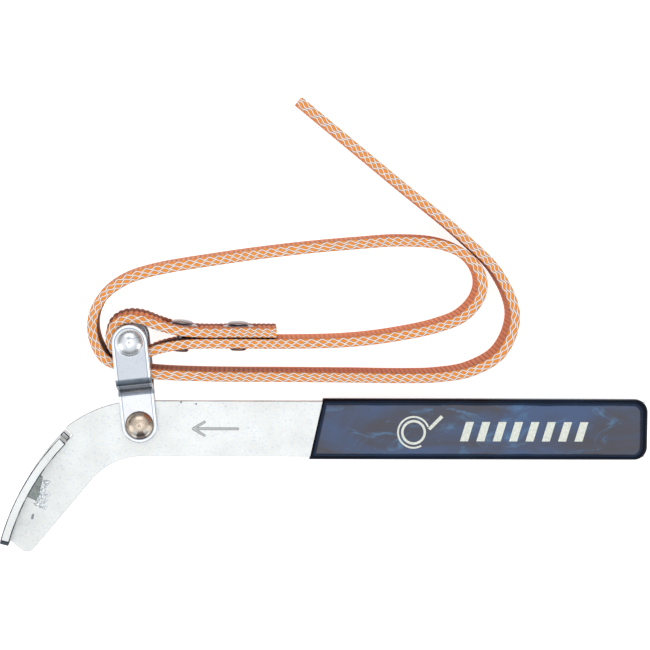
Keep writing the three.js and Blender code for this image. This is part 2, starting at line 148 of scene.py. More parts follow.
joints = {joint["name"]: joint for joint in frame["joints"]}
PIVOT = Vector(joints["link_swing"]["pos_m"])
ORIGIN = PIVOT - Vector((0, PIVOT_Y * MM, 0))
LINK_PLACE = Matrix.Translation(PIVOT) @ Matrix.Rotation(math.radians(LINK_TILT), 4, "Z")
PIN_PLACE = LINK_PLACE @ Matrix.Translation((0, LINK_PITCH * MM, 0))
FLOOR_Z = CAD_BOX[0][2]


def at(x, y, z=0.0):
    """A place in the handle's own frame (millimetres), in the row frame (metres)."""
    return ORIGIN + Vector((x, y, z)) * MM


def srgb(r, g, b):
    """A screen colour of 0 to 255 as linear RGBA."""
    def linear(c):
        c /= 255
        return c / 12.92 if c <= 0.04045 else ((c + 0.055) / 1.055) ** 2.4
    return (linear(r), linear(g), linear(b), 1)


# ---- the strap's route ---------------------------------------------------------------------
def route_points(per_segment=30):
    """Centripetal Catmull-Rom curve through the route, with its ends extended straight."""
    p = [Vector(q) for q in STRAP_ROUTE]
    p = [2 * p[0] - p[1]] + p + [2 * p[-1] - p[-2]]
    dense = []
    starts = []
    for i in range(1, len(p) - 2):
        d0, d1, d2 = ((p[j + 1] - p[j]).length ** 0.5 for j in (i - 1, i, i + 1))
        t1 = ((p[i] - p[i - 1]) / d0 - (p[i + 1] - p[i - 1]) / (d0 + d1)
              + (p[i + 1] - p[i]) / d1) * d1
        t2 = ((p[i + 1] - p[i]) / d1 - (p[i + 2] - p[i]) / (d1 + d2)
              + (p[i + 2] - p[i + 1]) / d2) * d1
        starts.append(len(dense))
        last = i == len(p) - 3
        for k in range(per_segment + last):
            u = k / per_segment
            h = (2 * u**3 - 3 * u**2 + 1, u**3 - 2 * u**2 + u, -2 * u**3 + 3 * u**2, u**3 - u**2)
            dense.append(p[i] * h[0] + t1 * h[1] + p[i + 1] * h[2] + t2 * h[3])
    starts.append(len(dense) - 1)
    points = np.array([tuple(q) for q in dense])
    length = np.concatenate([[0], np.cumsum(np.linalg.norm(np.diff(points, axis=0), axis=1))])
    return points, length, [float(length[i]) for i in starts]


ROUTE, ROUTE_LENGTH, POINT_LENGTH = route_points()
STRAP_END = float(ROUTE_LENGTH[-1])
LAP_END = POINT_LENGTH[LAP_POINT]
TAIL_START = POINT_LENGTH[TURN_START]


def route_at(lengths):
    return np.stack([np.interp(lengths, ROUTE_LENGTH, ROUTE[:, k]) for k in range(3)], axis=1)


def add(name, data):
    made = bpy.data.objects.new(name, data)
    bpy.context.scene.collection.objects.link(made)
    return made


# ---- camera --------------------------------------------------------------------------------
CAMERA_AT = at(39.1, 138.4, 1068.4)
CAMERA_AIM = at(82.9, 46.8, 0)
CAMERA_ROLL = math.radians(-0.443)
CAMERA_LENS = 132.4


def make_camera():
    data = bpy.data.cameras.new("camera")
    data.sensor_width = 36
    data.lens = CAMERA_LENS
    data.clip_start = 0.01
    data.clip_end = 20
    camera = add("camera", data)
    forward = (CAMERA_AIM - CAMERA_AT).normalized()
    level = forward.cross(Vector((0, 1, 0))).normalized()
    upright = level.cross(forward)
    up = upright * math.cos(CAMERA_ROLL) + level * math.sin(CAMERA_ROLL)
    right = forward.cross(up)
    turn = Matrix((right, up, -forward)).transposed().to_4x4()
    camera.matrix_world = Matrix.Translation(CAMERA_AT) @ turn
    bpy.context.scene.camera = camera


make_camera()


# ---- materials -----------------------------------------------------------------------------
class Surface:
    """A Principled material with short calls for its nodes."""

    def __init__(self, name, **settings):
        self.material = bpy.data.materials.new(name)
        self.material.use_nodes = True
        self.tree = self.material.node_tree
        self.tree.nodes.clear()
        self.output = self.tree.nodes.new("ShaderNodeOutputMaterial")
        self.shader = self.tree.nodes.new("ShaderNodeBsdfPrincipled")
        self.tree.links.new(self.shader.outputs[0], self.output.inputs["Surface"])
        for socket, value in settings.items():
            self.shader.inputs[socket.replace("_", " ")].default_value = value
        self.bumped = None

    def feed(self, socket, value):
        if isinstance(value, bpy.types.NodeSocket):
            self.tree.links.new(value, socket)
        else:
            socket.default_value = value

    def node(self, kind, inputs=(), **attributes):
        made = self.tree.nodes.new(kind)
        for key, value in attributes.items():
            setattr(made, key, value)
        for key, value in dict(inputs).items():
            self.feed(made.inputs[key], value)
        return made

    def math(self, operation, *values):
        inputs = dict(enumerate(values))
        return self.node("ShaderNodeMath", inputs, operation=operation).outputs[0]

    times = partialmethod(math, "MULTIPLY")
    plus = partialmethod(math, "ADD")
    minus = partialmethod(math, "SUBTRACT")
    over = partialmethod(math, "DIVIDE")
    least = partialmethod(math, "MINIMUM")
    most = partialmethod(math, "MAXIMUM")
    absolute = partialmethod(math, "ABSOLUTE")
    ramp = partialmethod(math, "MULTIPLY_ADD")

    def vector_math(self, operation, *values):
        made = self.node("ShaderNodeVectorMath", dict(enumerate(values)), operation=operation)
        return made.outputs["Value" if operation in ("LENGTH", "DOT_PRODUCT") else "Vector"]

    def place(self):
        return self.node("ShaderNodeTexCoord").outputs["Object"]

    def split(self, vector):
        return self.node("ShaderNodeSeparateXYZ", {0: vector}).outputs

    def scaled(self, vector, scale):
        return self.vector_math("MULTIPLY", vector, scale)

    def distance(self, a, b):
        return self.vector_math("LENGTH", self.vector_math("SUBTRACT", a, b))

    def upright(self, normal):
        """How nearly a face looks straight up or down."""
        normals = self.node("ShaderNodeNewGeometry").outputs[normal]
        return self.absolute(self.split(normals)[2])

    def noise(self, vector, scale, detail=3, roughness=0.55, distortion=0):
        inputs = {"Vector": vector, "Scale": scale, "Detail": detail,
                  "Roughness": roughness, "Distortion": distortion}
        return self.node("ShaderNodeTexNoise", inputs).outputs["Fac"]

    def smooth(self, value, low, high, to_low=0.0, to_high=1.0):
        inputs = {0: value, 1: low, 2: high, 3: to_low, 4: to_high}
        made = self.node("ShaderNodeMapRange", inputs, interpolation_type="SMOOTHSTEP")
        return made.outputs[0]

    def mix(self, amount, a, b):
        inputs = {0: amount, 6: a, 7: b}
        return self.node("ShaderNodeMix", inputs, data_type="RGBA").outputs[2]

    def colour(self, value):
        self.feed(self.shader.inputs["Base Color"], value)

    def rough(self, value):
        self.feed(self.shader.inputs["Roughness"], value)

    def bump(self, height, depth, strength=1.0):
        inputs = {"Height": height, "Distance": depth, "Strength": strength}
        if self.bumped:
            inputs["Normal"] = self.bumped
        self.bumped = self.node("ShaderNodeBump", inputs).outputs[0]
        self.feed(self.shader.inputs["Normal"], self.bumped)

    def stroke(self, place, start, end):
        """How far a place is from a straight line between two points."""
        start = Vector(start)
        reach = Vector(end) - start
        offset = self.vector_math("SUBTRACT", place, start)
        along = self.vector_math("DOT_PRODUCT", offset, reach / reach.length_squared)
        along = self.node("ShaderNodeClamp", {0: along}).outputs[0]
        nearest = self.node("ShaderNodeVectorMath", {0: reach, "Scale": along},
                            operation="SCALE").outputs[0]
        return self.distance(offset, nearest)


ZIGZAG_LINES = (-2.8, -1.4, 0.0, 1.4, 2.8)
ZIGZAG_SWING = 0.46
THREAD_HALF = 0.22
THREAD_SOFT = 0.08
THREAD_FRAY = 0.16
DRIFT_SCALE = 0.013
DRIFT_TURNS = 5.0
FAR = 9.0
EDGE_HALF = 2.35
FLOAT_ROW = 1.9
# the painted shade in the fold by the link: its reach from the shackle pin, and where it fades out in x
NOOK_SHADE_RADII = (20, 32)
NOOK_SHADE_X = (-14, -2)
# the strap's lengths where the eye's turn starts, is full, eases and ends
EYE_TURN = (POINT_LENGTH[3], POINT_LENGTH[5], POINT_LENGTH[12], POINT_LENGTH[14])


def strap_girth():
    return 2 * (STRAP_WIDTH + STRAP_THICKNESS) - (8 - 2 * math.pi) * STRAP_CORNER


def make_webbing():
    s = Surface("webbing", Roughness=0.85, Sheen_Weight=0.1, Sheen_Roughness=0.45,
                Specular_IOR_Level=0.2)
    weave = s.node("ShaderNodeUVMap", uv_map="weave").outputs[0]
    run, around, _ = s.split(weave)
    half = strap_girth() / 4
    across = s.math("WRAP", around, half, -half)

    # white threads that swing from side to side along the strap's edge, in and out of step
    run_only = s.node("ShaderNodeCombineXYZ", {"X": run}).outputs[0]
    fray = s.ramp(s.noise(weave, 1.3, 2), THREAD_FRAY, -THREAD_FRAY / 2)
    nearest = second = thread_gap = shaded = FAR
    for line, middle in enumerate(ZIGZAG_LINES):
        inputs = {"Vector": run_only, "W": 3.7 * line, "Scale": DRIFT_SCALE, "Detail": 1}
        drift = s.node("ShaderNodeTexNoise", inputs, noise_dimensions="4D")
        turns = s.ramp(drift.outputs["Fac"], DRIFT_TURNS, 0.3 * line)
        turns = s.plus(turns, s.over(run, ZIGZAG_PERIOD))
        wave = s.math("SINE", s.times(turns, 2 * math.pi))
        wave = s.ramp(wave, ZIGZAG_SWING, middle)
        below = s.minus(across, wave)
        gap = s.absolute(below)
        shade = s.absolute(s.plus(below, THREAD_HALF + 0.12))
        shaded = s.least(shaded, shade)
        second = s.least(second, s.most(nearest, gap))
        nearest = s.least(nearest, gap)
        if abs(middle) < EDGE_HALF:
            thread_gap = s.least(thread_gap, gap)
    opening = s.plus(nearest, second)
    thread_gap = s.plus(thread_gap, fray)
    thread = s.smooth(thread_gap, THREAD_HALF - THREAD_SOFT, THREAD_HALF + THREAD_SOFT, 1, 0)
    lens = s.smooth(s.plus(opening, fray), 0.85, 1.35)
    # painted shade along the threads: a brown-grey border beside each, grey between threads that run close, and a
    # grey line beneath each
    thread_shade_border = s.smooth(nearest, THREAD_HALF + 0.06, THREAD_HALF + 0.40, 1, 0)
    core = s.noise(weave, 0.8, 3)
    orange = s.mix(core, srgb(230, 120, 30), srgb(250, 168, 70))
    orange = s.mix(s.times(thread_shade_border, 0.9), orange, srgb(204, 138, 104))
    shadow = s.mix(s.smooth(s.noise(weave, 1.1, 2), 0.4, 0.6), srgb(146, 142, 154),
                   srgb(232, 190, 150))
    edge = s.mix(lens, shadow, orange)
    edge = s.mix(s.smooth(shaded, 0.04, 0.2, 0.5, 0), edge, srgb(142, 128, 134))
    white = s.mix(s.noise(weave, 3.1, 2), srgb(250, 232, 218), srgb(255, 252, 248))
    edge = s.mix(thread, edge, white)

    # ribs across the flat faces, each a row of short floats
    cell = s.over(run, RIB_PITCH)
    rib = s.absolute(s.math("SINE", s.times(cell, math.pi)))
    row = s.absolute(s.math("SINE", s.times(across, math.pi / FLOAT_ROW)))
    floats = s.times(s.math("POWER", rib, 0.8), s.ramp(s.math("POWER", row, 0.5), 0.45, 0.55))
    fibre = s.noise(s.scaled(weave, (1.0, 5.0, 1.0)), 1.9, 3, 0.6)
    face = s.mix(floats, srgb(158, 68, 26), srgb(238, 158, 108))
    face = s.mix(s.times(fibre, 0.45), face, srgb(208, 118, 72))
    tint = s.noise(s.place(), 26, 2)
    face = s.mix(s.smooth(tint, 0.35, 0.7, 0, 0.5), face, srgb(218, 122, 60))
    reach = s.absolute(across)
    face = s.mix(s.smooth(reach, EDGE_HALF, EDGE_HALF + 1.1, 0.75, 0), face, srgb(236, 130, 40))

    # the eye's outer face shows more orange, and painted shade darkens the inner faces under the lap and in the
    # folds by the link
    first, rise, fall, last = EYE_TURN
    turned = s.times(s.smooth(run, first, rise), s.smooth(run, fall, last, 1, 0))
    face = s.mix(s.times(turned, 0.8), face,
                 s.mix(floats, srgb(220, 100, 30), srgb(255, 180, 112)))
    pin = PIN_PLACE.translation
    away = s.distance(s.scaled(s.place(), (1, 1, 0)), (pin.x, pin.y, 0))
    inside = s.math("LESS_THAN", across, -EDGE_HALF)
    lapped = s.math("LESS_THAN", run, LAP_END)
    nook_shade = s.times(s.smooth(away, NOOK_SHADE_RADII[0] * MM, NOOK_SHADE_RADII[1] * MM, 1, 0),
                   s.smooth(s.split(s.place())[0], at(NOOK_SHADE_X[0], 0).x, at(NOOK_SHADE_X[1], 0).x, 1, 0))
    hidden_shade = s.times(inside, s.most(lapped, nook_shade))
    face = s.mix(s.times(hidden_shade, 0.9), face,
                 s.mix(s.noise(weave, 0.5, 2), srgb(70, 26, 8), srgb(150, 68, 18)))

    rim = s.ramp(rib, 0.2, reach)
    side = s.smooth(rim, EDGE_HALF, EDGE_HALF + 0.3)
    s.colour(s.mix(side, edge, face))
    lifted = s.ramp(thread, 0.6, s.times(lens, 0.35))
    s.bump(s.mix(side, lifted, floats), 0.25 * MM, 0.9)
    s.bump(s.noise(weave, 5.5, 2), 0.06 * MM, 0.7)
    return s.material


# strokes on the bar's upper face: start, end and half width
ARROW = (((24, 0), (44, 0), 0.4), ((24, 0), (29, 3), 0.4), ((24, 0), (29, -3), 0.4))
SPOTS = (((18.5, 12.0), (18.5, 11.9), 0.35), ((25.3, 11.2), (25.3, 11.1), 0.3),
         ((-47.7, -39.2), (-48.1, -40.6), 0.42))
MARK_SOFT = 0.22
# the shoe's darker toe, its slot, and the rust and painted shade at the head's neck
TOE_BAND = (-1.9, -1.5)
SLOT_HALF = 2.2
NECK_HALF = 2.4
RUST_SHADE_RADII = (1.4, 2.4)


def make_zinc():
    s = Surface("zinc_plate", Metallic=0.92, Specular_IOR_Level=0.5)
    place = s.place()
    height = s.split(place)[2]
    grain = s.noise(place, 2600, 2)
    cloud = s.noise(place, 70, 4)
    colour = s.mix(cloud, srgb(210, 214, 214), srgb(226, 226, 221))
    warm = s.smooth(s.noise(place, 1100, 3, 0.7), 0.52, 0.68)
    colour = s.mix(s.times(warm, 0.5), colour, srgb(236, 229, 213))
    blue = s.smooth(s.noise(s.vector_math("ADD", place, (1, 2, 3)), 950, 3, 0.7), 0.52, 0.68)
    colour = s.mix(s.times(blue, 0.5), colour, srgb(188, 198, 212))
    speck = s.smooth(s.noise(place, 620, 3), 0.64, 0.72)
    colour = s.mix(s.times(speck, 0.4), colour, srgb(150, 156, 160))

    # a plain turning arrow struck into the handle where a stamp would be, and three small nicks
    flat = s.scaled(place, (1, 1, 0))

    def marked(lines):
        gaps = 1.0
        for start, end, half in lines:
            a, b = at(*start), at(*end)
            gap = s.stroke(flat, (a.x, a.y, 0), (b.x, b.y, 0))
            gaps = s.least(gaps, s.minus(gap, half * MM))
        return s.smooth(gaps, 0, MARK_SOFT * MM, 1, 0)

    above = s.math("GREATER_THAN", height, at(0, 0, BAR_TOP - 0.3).z)
    struck = s.times(marked(ARROW), above)
    colour = s.mix(s.times(struck, 0.6), colour, srgb(128, 130, 130))
    colour = s.mix(s.times(marked(SPOTS), s.times(above, 0.75)), colour,
                   srgb(84, 88, 96))

    # painted shade on the sheared sides and rounded corners: both darker than the faces, the corners most, in
    # patches
    upright = s.upright("True Normal")
    edge_shade_patches = s.smooth(s.noise(place, 130, 3), 0.38, 0.56, 0.55, 1.0)
    edge_shade = s.times(s.smooth(upright, 0.97, 0.998, 1, 0),
                          s.smooth(upright, 0.02, 0.30, 0.3, 1))
    colour = s.mix(s.times(edge_shade, edge_shade_patches), colour, srgb(40, 46, 60))

    # a darker toe, and a rust-brown corner at the neck, partly rust and partly painted shade in the slot, both on
    # the shoe
    off_middle = s.absolute(s.minus(height, at(0, 0).z))
    toe = math.radians(SHOE_END)
    ahead = Vector((-math.sin(toe), math.cos(toe), 0))
    past = s.vector_math("DOT_PRODUCT", s.vector_math("SUBTRACT", place, at(*SHOE_CENTRE)),
                         ahead)
    toe_dark = s.times(s.smooth(past, TOE_BAND[0] * MM, TOE_BAND[1] * MM),
                    s.math("GREATER_THAN", off_middle, SLOT_HALF * MM))
    colour = s.mix(s.times(toe_dark, 0.85), colour, srgb(74, 82, 92))
    neck = math.radians(SHOE_START)
    corner = at(SHOE_CENTRE[0] + (SHOE_RADIUS - 2) * math.cos(neck),
                SHOE_CENTRE[1] + (SHOE_RADIUS - 2) * math.sin(neck))
    rust_and_shade = s.distance(place, corner)
    rust_and_shade = s.times(s.smooth(rust_and_shade, RUST_SHADE_RADII[0] * MM, RUST_SHADE_RADII[1] * MM, 1, 0),
                   s.math("LESS_THAN", off_middle, NECK_HALF * MM))
    colour = s.mix(rust_and_shade, colour, srgb(94, 52, 40))

    s.colour(colour)
    s.rough(s.smooth(cloud, 0.3, 0.7, 0.40, 0.52))
    s.bump(grain, 0.03 * MM, 0.5)
    s.bump(s.noise(place, 480, 3), 0.03 * MM, 0.5)
    s.bump(s.minus(1.0, struck), 0.35 * MM, 0.8)
    return s.material


def make_sheet_zinc():
    """Satin zinc of the link's pressed sheet, with a painted highlight and painted shade at its rounded rim and
    painted dark reflections in the bends.
    """
    s = Surface("link_zinc", Metallic=1.0)
    place = s.place()
    sideways, along, _ = s.split(s.node("ShaderNodeUVMap", uv_map="plan").outputs[0])
    beyond = s.most(s.minus(along, FLAT_PITCH), s.times(along, -1))
    beyond = s.most(beyond, 0)
    outward = s.node("ShaderNodeCombineXYZ", {"X": sideways, "Y": beyond}).outputs[0]
    rim = s.minus(LINK_WIDTH / 2, s.vector_math("LENGTH", outward))

    cloud = s.noise(place, 160, 3)
    dull = s.mix(cloud, srgb(164, 168, 176), srgb(190, 193, 197))
    bright = s.mix(cloud, srgb(196, 198, 204), srgb(214, 215, 218))
    middle = FLAT_PITCH / 2
    colour = s.mix(s.smooth(along, middle - 9, middle), bright, dull)
    scuff = s.smooth(s.noise(s.scaled(place, (1, 0.5, 1)), 1300, 3, 0.7), 0.55, 0.70)
    colour = s.mix(s.times(scuff, 0.45), colour, srgb(150, 158, 172))

    # painted dark reflections in the bends: where each band starts, is full, ebbs and is gone, and its depth
    bend = BEND_LENGTH
    top = 2 * bend + SLOPE_LENGTH
    bend_shade = 0.0
    for *stops, depth in (
            (-0.9, -0.4, 0.15 * bend, 0.6 * bend, 0.80),
            (0, 0.3 * bend, 0.9 * bend, bend, 0.25),
            (1.15 * bend, 1.3 * bend, 1.6 * bend, 2.2 * bend, 0.9),
            (1.6 * bend, 2 * bend, top - 0.8 * bend, top, 0.5),
            (top - 0.9 * bend, top - 0.4 * bend, top - 0.3, top + 0.5, 0.82)):
        rise, full, ebb, gone = (JOGGLE_START + stop for stop in stops)
        band = s.times(s.smooth(along, rise, full, 0, depth), s.smooth(along, ebb, gone, 1, 0))
        bend_shade = s.most(bend_shade, band)
    streak = s.ramp(s.noise(s.scaled(place, (0.3, 1, 1)), 900, 3), 0.5, 0.75)
    bend_shade = s.times(bend_shade, streak)

    # painted shade: a dark line just inside the rounded rim; painted highlight: a bright band on the rim; painted
    # shade: the lower plate's rim darker
    line = s.absolute(s.minus(rim, 1.45))
    colour = s.mix(s.smooth(line, 0.05, 0.34, 0.75, 0), colour, srgb(120, 130, 146))
    colour = s.mix(s.smooth(rim, 1.1, 1.3, 1, 0), colour, srgb(228, 233, 240))
    under = s.math("LESS_THAN", s.split(place)[2], PIVOT.z)
    shaded = s.times(s.smooth(rim, 0.9, 1.2, 0.75, 0), under)
    colour = s.mix(shaded, colour, srgb(84, 90, 98))
    colour = s.mix(bend_shade, colour, srgb(70, 82, 96))
    s.colour(colour)
    s.rough(s.smooth(cloud, 0.3, 0.75, 0.24, 0.36))
    s.bump(s.noise(place, 1400, 3), 0.04 * MM, 0.6)
    s.bump(s.smooth(rim, 0.9, 1.5), 0.12 * MM, 0.5)
    return s.material


TICK_OUT = 2.2
TICK_ENDS = ((-0.7, 0.5), (0.7, 0.5), (0.0, 0.9), (5.0, 0.45))
TICK_FADE = 0.07


def make_bright_zinc():
    s = Surface("bright_zinc", Metallic=1.0)
    place = s.place()
    cloud = s.noise(place, 260, 3)
    colour = s.mix(cloud, srgb(222, 227, 231), srgb(243, 245, 246))

    # an off-centre tick left by the heading tool
    tick = PIN_PLACE @ Vector((0, TICK_OUT * MM, 0))
    flat = s.scaled(place, (1, 1, 0))
    gaps = 1.0
    for dx, dy in TICK_ENDS:
        stroke = s.stroke(flat, (tick.x, tick.y, 0), (tick.x + dx * MM, tick.y + dy * MM, 0))
        gaps = s.least(gaps, s.plus(stroke, max(dx - 2, 0) * TICK_FADE * MM))
    colour = s.mix(s.smooth(gaps, 0.2 * MM, 0.5 * MM, 0.6, 0), colour, srgb(112, 122, 134))
    s.colour(colour)
    s.rough(s.smooth(cloud, 0.3, 0.7, 0.24, 0.34))
    s.bump(s.noise(s.scaled(place, (1, 0.25, 1)), 900, 3), 0.03 * MM, 0.5)
    return s.material


LOWER_SIDE = (0.17, -0.985, 0)


def make_bronze():
    """The pivot's passivated dome: bronze-toned and finely scratched, with painted highlights and a painted dark
    reflection at its lower side, and a painted shade ring at its foot.
    """
    s = Surface("pivot_bronze", Metallic=1.0)
    place = s.place()
    cloud = s.noise(place, 260, 4, 0.6, 0.6)
    colour = s.mix(cloud, srgb(176, 154, 134), srgb(232, 218, 200))
    scratch = s.smooth(s.noise(s.scaled(place, (0.16, 1, 1)), 2400, 2), 0.63, 0.68)
    colour = s.mix(s.times(scratch, 0.5), colour, srgb(240, 234, 224))

    # painted light: bright patches and a dark wedge of reflection on the lower side, and a dark ring of shade at
    # the foot
    offset = s.scaled(s.vector_math("SUBTRACT", place, PIVOT), (1, 1, 0))
    radius = s.vector_math("LENGTH", offset)
    down = s.over(s.vector_math("DOT_PRODUCT", offset, LOWER_SIDE), radius)
    ring = s.times(s.smooth(radius, 2.2 * MM, 3.6 * MM),
                   s.smooth(radius, 5.3 * MM, 6.0 * MM, 1, 0))
    lower_highlight = s.times(s.smooth(down, 0.45, 0.75), ring)
    colour = s.mix(s.times(lower_highlight, 0.8), colour, srgb(250, 246, 240))
    wedge = s.times(s.smooth(down, 0.86, 0.96), s.smooth(radius, 1.8 * MM, 3.2 * MM))
    colour = s.mix(s.times(wedge, 0.85), colour, srgb(84, 66, 56))
    colour = s.mix(s.smooth(radius, 5.6 * MM, 6.1 * MM, 0, 0.6), colour, srgb(88, 78, 74))
    s.colour(colour)
    s.rough(s.smooth(cloud, 0.3, 0.7, 0.24, 0.36))
    s.bump(scratch, 0.02 * MM, 0.6)
    s.bump(s.noise(place, 420, 2), 0.05 * MM, 0.5)
    return s.material


def make_rivet_steel():
    s = Surface("rivet_steel", Metallic=1.0)
    place = s.place()
    cloud = s.noise(place, 420, 4)
    s.colour(s.mix(cloud, srgb(122, 118, 120), srgb(188, 188, 192)))
    s.rough(s.smooth(cloud, 0.3, 0.7, 0.22, 0.42))
    s.bump(s.noise(place, 1500, 2), 0.03 * MM, 0.6)
    return s.material


def make_weld_metal():
    s = Surface("weld_metal", Metallic=0.7)
    place = s.place()
    cloud = s.noise(place, 700, 4)
    colour = s.mix(cloud, srgb(138, 146, 144), srgb(172, 178, 174))
    # painted shade: the bead's steep sides darker than its top
    colour = s.mix(s.smooth(s.upright("Normal"), 0.25, 0.55, 0.9, 0), colour, srgb(44, 50, 52))
    s.colour(colour)
    s.rough(s.smooth(cloud, 0.3, 0.7, 0.4, 0.6))
    s.bump(s.noise(place, 900, 3), 0.08 * MM, 0.6)
    return s.material


# how much wider the painted dark rim is at the free end, and narrower at the mouth
RIM_IN = 1.0
MOUTH_OUT = 1.8


def make_vinyl():
    """Glossy navy dipped vinyl, with the cloudy streaks that dipping leaves."""
    s = Surface("vinyl_grip", IOR=1.5, Coat_Roughness=0.05)
    place = s.place()
    stretched = s.scaled(place, (0.5, 1, 1))
    cloud = s.noise(stretched, 38, 4, 0.55, 0.8)
    wisps = s.noise(stretched, 110, 5, 0.65, 1.2)
    colour = s.mix(s.smooth(cloud, 0.36, 0.64), srgb(36, 34, 50), srgb(24, 62, 108))
    colour = s.mix(s.smooth(wisps, 0.52, 0.74, 0, 0.7), colour, srgb(66, 124, 168))

    # painted dark reflection round the rim, where the shine is also turned down, with a thin painted highlight
    # line where the face begins
    place_x, place_y, _ = s.split(place)
    corner = at(GRIP_END_X - GRIP_CORNER, GRIP_WIDTH / 2 - GRIP_CORNER)
    aside = s.most(s.minus(s.absolute(s.minus(place_y, ORIGIN.y)), corner.y - ORIGIN.y), 0.0)
    along = s.most(s.minus(place_x, corner.x - RIM_IN * MM), 0.0)
    reach = s.math("SQRT", s.plus(s.times(aside, aside), s.times(along, along)))
    inset = s.over(s.minus(GRIP_CORNER * MM, reach), MM)
    slope = math.tan(math.radians(GRIP_OPEN_SLANT))
    mouth = s.minus(s.minus(place_x, at(GRIP_OPEN_X, 0).x),
                    s.times(s.minus(place_y, ORIGIN.y), slope))
    mouth = s.over(mouth, MM)
    waver = s.ramp(s.noise(place, 60, 2), 0.8, -0.4)
    inset = s.plus(s.least(inset, s.plus(mouth, MOUTH_OUT)), waver)
    rim = s.smooth(inset, 2.3, 3.2, 1, 0)
    colour = s.mix(s.times(rim, 0.9), colour, srgb(10, 12, 20))
    rim_highlight_line = s.times(s.smooth(inset, 1.5, 1.9), s.smooth(inset, 2.1, 2.5, 1, 0))
    colour = s.mix(s.times(rim_highlight_line, 0.3), colour, srgb(44, 76, 112))
    s.feed(s.shader.inputs["Specular IOR Level"], s.ramp(rim, -0.42, 0.5))
    s.feed(s.shader.inputs["Coat Weight"], s.ramp(rim, -0.28, 0.3))
    s.colour(colour)
    s.rough(s.smooth(wisps, 0.3, 0.75, 0.12, 0.24))
    s.bump(s.noise(stretched, 60, 2), 0.30 * MM, 0.3)
    return s.material


def make_print():
    s = Surface("print_ink", Roughness=0.5)
    place = s.place()
    wear = s.smooth(s.noise(place, 900, 3, 0.7), 0.35, 0.65)
    s.colour(s.mix(wear, srgb(206, 210, 196), srgb(230, 232, 220)))
    s.bump(s.noise(place, 1600, 2), 0.02 * MM, 0.5)
    return s.material


WEBBING = make_webbing()
ZINC = make_zinc()
SHEET_ZINC = make_sheet_zinc()
BRIGHT_ZINC = make_bright_zinc()
BRONZE = make_bronze()
RIVET_STEEL = make_rivet_steel()
WELD_METAL = make_weld_metal()
VINYL = make_vinyl()
PRINT_INK = make_print()


# ---- mesh helpers --------------------------------------------------------------------------
def piece(name, mesh, material, body, slot, *replaced):
    made = add(name, mesh)
    mesh.materials.clear()
    mesh.materials.append(material)
    if body:
        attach(made, body)
    if replaced:
        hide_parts(*replaced)
    return made


def shade(mesh, sharp):
    mesh.shade_smooth()
    mesh.set_sharp_from_angle(angle=math.radians(sharp))


def face_outward(bm):
    bmesh.ops.recalc_face_normals(bm, faces=bm.faces)


def mesh_of(bm, name):
    mesh = bpy.data.meshes.new(name)
    bm.to_mesh(mesh)
    bm.free()
    return mesh


def weighted(made):
    modifier = made.modifiers.new("weighted_normals", "WEIGHTED_NORMAL")
    modifier.keep_sharp = True
    return made


def body_of(node):
    for body, members in frame["record"]["behaviour"]["bodies"].items():
        if node in members:
            return body
    raise KeyError(node)


HARD_ANGLE = 35


def refined(node, material, slot, edge):
    """A CAD node's own shape with its hard edges broken."""
    bm = bmesh.new()
    bm.from_mesh(frame["nodes"][node].data)
    bmesh.ops.remove_doubles(bm, verts=bm.verts, dist=2e-6)
    bmesh.ops.dissolve_limit(bm, angle_limit=math.radians(1.5), verts=bm.verts, edges=bm.edges)
    hard = [e for e in bm.edges
            if len(e.link_faces) == 2 and e.calc_face_angle() > math.radians(HARD_ANGLE)]
    bmesh.ops.bevel(bm, geom=hard, offset=edge * MM, segments=3, profile=0.5,
                    affect="EDGES", clamp_overlap=True)
    mesh = mesh_of(bm, node + "_fine")
    shade(mesh, 50)
    return weighted(piece(node + "_fine", mesh, material, body_of(node), slot, node))


def lathe(profile, segments=96):
    """A closed body of revolution about Z from (radius, height) pairs, from pole to pole."""
    bm = bmesh.new()
    rings = []
    for radius, height in profile:
        if radius < 1e-6:
            rings.append([bm.verts.new((0, 0, height * MM))])
            continue
        rings.append([bm.verts.new((x * MM, y * MM, height * MM))
                      for x, y in arc(0, 0, radius, 0, 360, segments)[:-1]])
    for low, high in zip(rings, rings[1:]):
        for i in range(segments):
            j = (i + 1) % segments
            corners = [low[i % len(low)], low[j % len(low)], high[j % len(high)],
                       high[i % len(high)]]
            unique = list(dict.fromkeys(corners))
            if len(unique) > 2:
                bm.faces.new(unique)
    face_outward(bm)
    return bm


def extruded(splines, depth, edge, resolution=5):
    """A flat plate from closed outlines (the first is outside, the rest are holes), in
    millimetres, with its rims rounded to `edge`. Arcs come as many short sides."""
    curve = bpy.data.curves.new("outline", "CURVE")
    curve.dimensions = "2D"
    curve.fill_mode = "BOTH"
    curve.extrude = (depth / 2 - edge) * MM
    curve.bevel_depth = edge * MM
    curve.bevel_resolution = resolution
    for points in splines:
        spline = curve.splines.new("POLY")
        spline.points.add(len(points) - 1)
        for target, (x, y) in zip(spline.points, points):
            target.co = (x * MM, y * MM, 0, 1)
        spline.use_cyclic_u = True
    holder = bpy.data.objects.new("outline", curve)
    mesh = bpy.data.meshes.new_from_object(holder)
    bpy.data.objects.remove(holder)
    bpy.data.curves.remove(curve)
    bm = bmesh.new()
    bm.from_mesh(mesh)
    bpy.data.meshes.remove(mesh)
    bmesh.ops.remove_doubles(bm, verts=bm.verts, dist=1e-6)
    face_outward(bm)
    return bm


def arc(cx, cy, radius, start, end, steps):
    """Points along an arc, angles in degrees."""
    angles = (math.radians(start + (end - start) * i / steps) for i in range(steps + 1))
    return [(cx + radius * math.cos(a), cy + radius * math.sin(a)) for a in angles]


